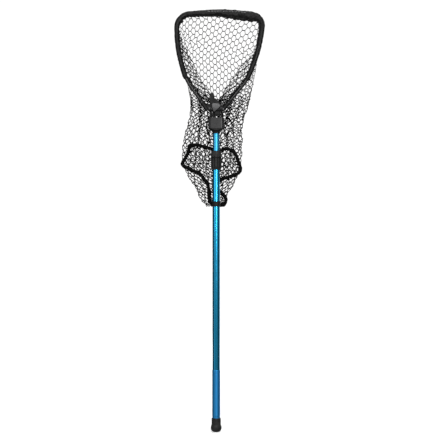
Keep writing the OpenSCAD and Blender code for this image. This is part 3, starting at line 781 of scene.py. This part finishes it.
net = Bundle()
total_len = 0.0
for s, w in net_rows(bag_cloth, -64, 64, int(-430 / (ROW / 2)), int(420 / (ROW / 2))):
    lo = np.interp(w, levels, s_lo)
    hi = np.interp(w, levels, s_hi)
    inside = (s > lo) & (s < hi) & (w > W_LO) & (w < W_HI)
    idx = np.flatnonzero(inside)
    if len(idx) < 2:
        continue
    for run in np.split(idx, np.flatnonzero(np.diff(idx) > 1) + 1):
        a, b = run[0], run[-1]
        if b - a < 1:
            continue
        ss, ww = s[a:b + 1], w[a:b + 1]
        # carry each end on to the edge of the cloth
        if a > 0:
            s0, w0 = s[a - 1], np.clip(w[a - 1], W_LO, W_HI)
            s0 = np.clip(s0, np.interp(w0, levels, s_lo), np.interp(w0, levels, s_hi))
            ss, ww = np.concatenate([[s0], ss]), np.concatenate([[w0], ww])
        if b < len(s) - 1:
            s0, w0 = s[b + 1], np.clip(w[b + 1], W_LO, W_HI)
            s0 = np.clip(s0, np.interp(w0, levels, s_lo), np.interp(w0, levels, s_hi))
            ss, ww = np.concatenate([ss, [s0]]), np.concatenate([ww, [w0]])
        p = on_bag(ss, ww)
        keep = np.concatenate([[True], np.linalg.norm(np.diff(p, axis=0), axis=1) > 0.2])
        p = p[keep]
        if len(p) > 1:
            net.tube(p, strand_r(p[:, 2] - HZ), 5)
            total_len += np.linalg.norm(np.diff(p, axis=0), axis=1).sum()

# the bottom panel lies up inside the seam, its lattice turned
seam = np.array([[-100, 26, -134], [-71, 26, -132], [-39, 27, -140], [-14, 27, -146], [14, 27, -154], [35, 26, -144], [55, 26, -150],
                 [70, 27, -163], [84, 29, -195], [91, 31, -222], [84, 29, -236], [51, 27, -250], [20, 25, -262], [4, 24, -276], [8, 24, -300],
                 [22, 25, -313], [36, 27, -334], [31, 26, -355], [14, 26, -358], [-14, 26, -356], [-24, 26, -345], [-28, 26, -317],
                 [-31, 27, -284], [-43, 27, -264], [-63, 27, -240], [-96, 30, -224], [-128, 40, -204], [-116, 36, -178], [-104, 30, -154]], float)
seam[:, 1] += 1.0
poly = catmull(seam, 8, closed=True)


def inside_poly(x, w):
    px, pw = poly[:, 0], poly[:, 2]
    qx, qw = np.roll(px, -1), np.roll(pw, -1)
    hit = (pw[None] > w[:, None]) != (qw[None] > w[:, None])
    at = px[None] + (w[:, None] - pw[None]) / np.where(qw == pw, 1e-9, qw - pw)[None] * (qx - px)[None]
    return (np.sum(hit & (x[:, None] < at), 1) % 2) == 1


def panel(x0, w0, turn_, squash_x, squash_w, y_mid, seed_):
    ca, sa = math.cos(turn_), math.sin(turn_)
    for u, v in net_rows(lambda u, v: (u, v), -16, 16, -28, 28):
        x = x0 + (ca * u - sa * v) * squash_x
        w = w0 + (sa * u + ca * v) * squash_w
        x = x + 3.0 * np.sin(w / 17 + seed_) + 2.0 * np.sin(w / 41 + x / 29)
        w = w + 2.5 * np.sin(x / 21 + seed_) + 2.0 * np.sin(x / 13 - w / 37)
        ins = inside_poly(x, w)
        idx = np.flatnonzero(ins)
        if len(idx) < 2:
            continue
        for run in np.split(idx, np.flatnonzero(np.diff(idx) > 1) + 1):
            if len(run) < 2:
                continue
            a_, b_ = max(run[0] - 1, 0), min(run[-1] + 1, len(x) - 1)
            xs, ws_ = x[a_:b_ + 1].copy(), w[a_:b_ + 1].copy()
            # pull an end that overshoots back to the seam
            for e_, nb in ((0, 1), (-1, -2)):
                if not inside_poly(xs[[e_]], ws_[[e_]])[0]:
                    lo_, hi_ = 0.0, 1.0
                    for _ in range(8):
                        m_ = (lo_ + hi_) / 2
                        xm, wm = xs[nb] + (xs[e_] - xs[nb]) * m_, ws_[nb] + (ws_[e_] - ws_[nb]) * m_
                        if inside_poly(np.array([xm]), np.array([wm]))[0]:
                            lo_ = m_
                        else:
                            hi_ = m_
                    xs[e_], ws_[e_] = xs[nb] + (xs[e_] - xs[nb]) * lo_, ws_[nb] + (ws_[e_] - ws_[nb]) * lo_
            dist = np.min(np.hypot(xs[:, None] - poly[None, :, 0], ws_[:, None] - poly[None, :, 2]), 1)
            sy = poly[np.argmin(np.hypot(xs[:, None] - poly[None, :, 0], ws_[:, None] - poly[None, :, 2]), 1), 1]
            t_ = np.clip(dist / 22, 0, 1)
            y = sy * (1 - t_) + y_mid * t_ + 2.2 * t_ * (np.sin(xs / 15 + ws_ / 23 + seed_) + np.sin(ws_ / 12 - xs / 30))
            p_ = np.stack([xs, y, HZ + ws_], -1)
            ok = np.concatenate([[True], np.linalg.norm(np.diff(p_, axis=0), axis=1) > 0.2])
            if ok.sum() > 1:
                yield p_[ok]


for args in ((-20, -215, 0.72, 0.92, 0.86, 36, 0.0),):
    for p_ in panel(*args):
        net.tube(p_, strand_r(p_[:, 2] - HZ), 5)
        total_len += np.linalg.norm(np.diff(p_, axis=0), axis=1).sum()

# selvedge cords: one along the front join behind the pole, one round the mouth's edge
ws = np.linspace(-360, -2, 160)
front_l = on_bag(np.interp(ws, levels, s_lo), ws)
front_r = on_bag(np.interp(ws, levels, s_hi), ws)
join = (front_l + front_r) / 2
join = join[ws < -108]
net.tube(even(join, 3.0), 1.3, 6)
for side in (s_lo, s_hi):
    ws2 = np.linspace(-108, W_HI - 2, 290)
    net.tube(even(on_bag(np.interp(ws2, levels, side), ws2), 3.0), 1.2, 6)
netting = net.make("netting", M["net"])

# ------------------------------------------------------------------ the seam itself
seam = seam.copy()
seam[:, 2] += HZ
line = even(catmull(seam, 24, closed=True), step=1.6, closed=True)
wobble = np.array([[wob(*p, 26, 3.1), wob(*p, 22, 8.3), wob(*p, 24, 5.7)] for p in line])
line = line + wobble * np.array([1.6, 1.2, 1.6])
t, a, b = frames_along(line, True)
arc = np.concatenate([[0], np.cumsum(np.linalg.norm(np.diff(line, axis=0), axis=1))])
total = arc[-1] + np.linalg.norm(line[0] - line[-1])
SIDES = 22
th = np.arange(SIDES) * 2 * math.pi / SIDES
lay = np.round(total / 11.0) * 2 * math.pi * arc / total
rr = 6.5 + 0.5 * np.cos(2 * th[None, :] + lay[:, None]) + 0.22 * np.cos(5 * th[None, :] - 2 * lay[:, None])
rr += np.array([0.45 * wob(*p, 14, 1.2) for p in line])[:, None]
ring = line[:, None, :] + rr[:, :, None] * (np.cos(th)[None, :, None] * a[:, None, :] + np.sin(th)[None, :, None] * b[:, None, :])
n = len(line)
i = np.arange(n)[:, None]
k = np.arange(SIDES)[None, :]
q = np.stack(np.broadcast_arrays(i * SIDES + k, i * SIDES + (k + 1) % SIDES, ((i + 1) % n) * SIDES + (k + 1) % SIDES, ((i + 1) % n) * SIDES + k), -1).reshape(-1, 4)
binding = mesh_object("seam_binding_visual", ring.reshape(-1, 3), q, M["cord"])

# ------------------------------------------------------------------ hem over the hoop
hem_pts = even(hoop_line, step=1.9)
skip = int(142 / 1.9)
hem_pts = hem_pts[skip:-skip]
tan = np.gradient(hem_pts, axis=0)
tan /= np.linalg.norm(tan, axis=1, keepdims=True)
outw = np.stack([-tan[:, 2], np.zeros(len(tan)), tan[:, 0]], -1)
HS = 44
ph = np.arange(HS) * 2 * math.pi / HS


def sag(x, w):
    t = np.interp(w, [200, 335, 358], [0, 0.25, 1])
    return 0.5 + t * np.interp(x, [-130, -60, 10, 70, 125], [1, 3, 5, 10, 12])


arc = np.concatenate([[0], np.cumsum(np.linalg.norm(np.diff(hem_pts, axis=0), axis=1))])
verts = np.zeros((len(hem_pts), HS, 3))
s_turn = float(arc[np.argmin(np.hypot(hem_pts[:, 0] + 132, hem_pts[:, 2] - HZ - 338))])
end_fade = np.clip(np.minimum(arc, arc[-1] - arc) / 12, 0, 1)
for i, p in enumerate(hem_pts):
    w = p[2] - HZ
    g = sag(p[0], w)
    c, s_ = np.cos(ph), np.sin(ph)
    arch = float(smoothstep(w, 330, 356)) * np.interp(p[0], [-120, -60, -10, 20, 60, 100, 130], [0.2, 1.6, 3.4, 4.2, 3.0, 0.3, -1.2])
    rin = 9 + 1.6 * g - 0.75 * arch
    # a pinched crease where the hem turns the top left corner
    rin = rin + 8.5 * math.exp(-((arc[i] - s_turn) / 16) ** 2) - 8.0 * math.exp(-((arc[i] - s_turn - 5) / 3.4) ** 2)
    rad = np.where(c > 0, 9.8 + arch, rin)
    # towards the mouth the two layers close into a flat sewn flap
    flat = np.clip((-c - 0.35) / 0.65, 0, 1)
    y = 7.6 * s_ * (1 - 0.62 * flat)
    x = rad * c
    # wrinkles run mostly across the hem, deeper along the sagging top
    wr = (0.45 + 0.09 * g)
    cross = np.array([wob(arc[i], 22 * cc, 14 * ss, 9.0, 2.0) for cc, ss in zip(c, s_)])
    longw = np.array([wob(arc[i], 60 * cc, 60 * ss, 30.0, 9.0) for cc, ss in zip(c, s_)])
    crease = np.array([wob(arc[i] * 0.35, 30 * cc + 4 * ss, 30 * ss, 7.0, 5.0) for cc, ss in zip(c, s_)])
    disp = wr * (1.5 * cross + 1.1 * longw + 0.9 * crease)
    f = 0.80 + 0.20 * end_fade[i]
    x = (x + disp * c) * f
    y = (y + disp * s_ * 0.8) * f
    # the inner edge is scalloped where the netting pulls on it
    x = x - np.where(c < -0.8, 0.9 * math.sin(2 * math.pi * arc[i] / 13.7) * (-c - 0.8) / 0.2, 0)
    verts[i] = p + x[:, None] * outw[i] + np.stack([np.zeros(HS), y, np.zeros(HS)], -1)
n = len(hem_pts)
i = np.arange(n - 1)[:, None]
k = np.arange(HS)[None, :]
q = np.stack(np.broadcast_arrays(i * HS + k, i * HS + (k + 1) % HS, (i + 1) * HS + (k + 1) % HS, (i + 1) * HS + k), -1).reshape(-1, 4)
allv = [verts.reshape(-1, 3)]
faces = [np.concatenate([q[:, [0, 1, 2]], q[:, [0, 2, 3]]])]
base = n * HS
# the cloth's inner face lies on the hoop's tube, and the turned-in mouths close on the arms
lining = list(range(0, n - 1, 2)) + [n - 1]
for e in lining:
    allv.append(hem_pts[e] + (verts[e] - hem_pts[e]) * (6.15 / np.linalg.norm(verts[e] - hem_pts[e], axis=1))[:, None])
ks = np.arange(HS)
kn = (ks + 1) % HS
for j in range(len(lining) - 1):
    t0, t1 = base + j * HS, base + (j + 1) * HS
    faces += [np.stack([t0 + ks, t1 + ks, t1 + kn], -1), np.stack([t0 + ks, t1 + kn, t0 + kn], -1)]
for e, row_, sign in ((0, 0, 1), (n - 1, len(lining) - 1, -1)):
    r0, r1 = e * HS + ks, e * HS + kn
    t0, t1 = base + row_ * HS + ks, base + row_ * HS + kn
    f1 = np.stack([r0, t0, r1], -1) if sign > 0 else np.stack([r0, r1, t0], -1)
    f2 = np.stack([r1, t0, t1], -1) if sign > 0 else np.stack([r1, t1, t0], -1)
    faces += [f1, f2]
hem = mesh_object("hem_visual", np.concatenate(allv), np.concatenate(faces)[:, ::-1], M["hem"])

# stitches along the flap of the hem, front and back
st = Bundle()
pos = 4.0
while pos < arc[-1] - 6:
    j0, j1 = np.searchsorted(arc, pos), np.searchsorted(arc, pos + 3.0)
    for side in (1, -1):
        col = (int(round(HS * (180 + side * -38) / 360))) % HS
        a0, a1 = verts[j0, col], verts[min(j1, n - 1), col]
        up = np.array([0, 0.35 * (1 if a0[1] > 0 else -1), 0])
        st.tube(np.array([a0 - up * 0.8, a0 * 0.7 + a1 * 0.3 + up, a0 * 0.3 + a1 * 0.7 + up, a1 - up * 0.8]), 0.38, 5)
    pos += 4.6
# a looser top stitch on the front of the top bar, just under its upper edge; its pale grey thread is a painted glint
# along that edge
pos = float(arc[np.argmin(np.hypot(hem_pts[:, 0] + 30, hem_pts[:, 2] - HZ - 352))])
last = float(arc[np.argmin(np.hypot(hem_pts[:, 0] - 112, hem_pts[:, 2] - HZ - 352))])
top_st = Bundle()
count = 0
while pos < last:
    run = 7.5 + 4.5 * wob(pos, 3.0, 1.0, 9.0, 2.0)
    at_ = np.searchsorted(arc, np.linspace(pos, pos + run, 6))
    col = int(round(HS * (360 - 66) / 360)) % HS
    pts_ = verts[at_, col].copy()
    lift_ = np.array([-0.5, 0.25, 0.45, 0.45, 0.25, -0.5])
    pts_[:, 1] -= lift_
    top_st.tube(pts_, 0.75, 6)
    count += 1
    pos += run + 3.5
top_stitches = top_st.make("hem_top_stitches_painted_glint", M["thread_light"])
stitches = st.make("hem_stitches", M["thread"])

# ------------------------------------------------------------------ net edge bands lashed along the bare arms
fine = even(hoop_line, step=1.5)
ft = np.gradient(fine, axis=0)
ft /= np.linalg.norm(ft, axis=1, keepdims=True)
fo = np.stack([-ft[:, 2], np.zeros(len(ft)), ft[:, 0]], -1)
bands = Bundle()
lash = Bundle()
a0, a1 = int(44 / 1.5), int(148 / 1.5)
BS = 16
bt = np.arange(BS) * 2 * math.pi / BS
for flip_ in (False, True):
    line_, out_ = (fine[::-1], fo[::-1]) if flip_ else (fine, fo)
    idx = np.arange(a0, a1)
    c = line_[idx] - out_[idx] * 9.3
    c[:, 1] += 0.6
    arc_ = np.arange(len(idx)) * 1.5
    squeeze = 1 - 0.22 * np.exp(-((arc_ % 13 - 6.5) / 2.0) ** 2)
    tip = np.sqrt(np.clip(np.minimum(arc_, arc_[-1] - arc_) / 4.0, 0.04, 1))
    rings = np.zeros((len(idx), BS, 3))
    for m_ in range(len(idx)):
        wv = np.array([wob(arc_[m_], 9 * math.cos(x), 9 * math.sin(x), 7, 3 + flip_) for x in bt])
        rx = (3.3 * squeeze[m_] + 0.5 * wv) * tip[m_]
        ry = (2.3 * squeeze[m_] + 0.4 * wv) * tip[m_]
        rings[m_] = c[m_] + (rx * np.cos(bt))[:, None] * out_[idx[m_]] + np.stack([np.zeros(BS), ry * np.sin(bt), np.zeros(BS)], -1)
    base = bands.n
    bands.v.append(rings.reshape(-1, 3))
    ii = np.arange(len(idx) - 1)[:, None]
    kk = np.arange(BS)[None, :]
    q4 = np.stack(np.broadcast_arrays(ii * BS + kk, ii * BS + (kk + 1) % BS, (ii + 1) * BS + (kk + 1) % BS, (ii + 1) * BS + kk), -1).reshape(-1, 4)
    if flip_:
        q4 = q4[:, ::-1]
    bands.f.append(np.concatenate([q4[:, [0, 1, 2]], q4[:, [0, 2, 3]]]) + base)
    bands.n += len(idx) * BS
    for e_, row_ in ((0, 0), (1, len(idx) - 1)):
        bands.v.append(rings[row_].mean(0)[None, :])
        cc = bands.n
        bands.n += 1
        r_ = base + row_ * BS + np.arange(BS)
        rn = base + row_ * BS + (np.arange(BS) + 1) % BS
        bands.f.append(np.stack([np.full(BS, cc), rn, r_] if (e_ == 0) != flip_ else [np.full(BS, cc), r_, rn], -1))
    # lashing cord: wraps the band and the arm together every 13 mm, with a slanted run between wraps
    for g0 in np.arange(52, 142, 13.0):
        loops = []
        for th_ in np.linspace(0, 2 * math.pi * 1.0, 30, endpoint=False):
            at = (g0 + 1.2 * math.sin(th_)) / 1.5
            m_ = min(int(at), len(line_) - 2)
            f_ = at - m_
            pc = line_[m_] * (1 - f_) + line_[m_ + 1] * f_
            oc = out_[m_]
            # an oval that holds the arm (radius 6) and the band beside it
            xx = math.cos(th_)
            yy = math.sin(th_)
            inward = xx < 0
            rad_x = 12.4 if inward else 6.5
            rad_y = 6.5 if not inward else 6.5 - 3.4 * (abs(xx) ** 1.6)
            loops.append(pc + oc * (rad_x * xx) + np.array([0, rad_y * yy * (1 if not inward else 1), 0]))
        lash.tube(np.array(loops), 0.55, 6, closed=True)
bands.f = [f_[:, ::-1] for f_ in bands.f]
band_o = bands.make("arm_bands_visual", M["hem"])
lash_o = lash.make("arm_lashing", M["cord"])

# ------------------------------------------------------------------ riding and replacing
def to_fold(o):
    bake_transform(o)


to_fold(netting)
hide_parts("net_upper", "net_lower", "net_bottom")
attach(binding, "head")
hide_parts("seam_binding")
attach(hem, "hoop")
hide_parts("hem_sleeve")
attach(band_o, "hoop")
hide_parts("arm_bands")
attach(lash_o, "hoop")
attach(stitches, "hoop")
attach(top_stitches, "hoop")
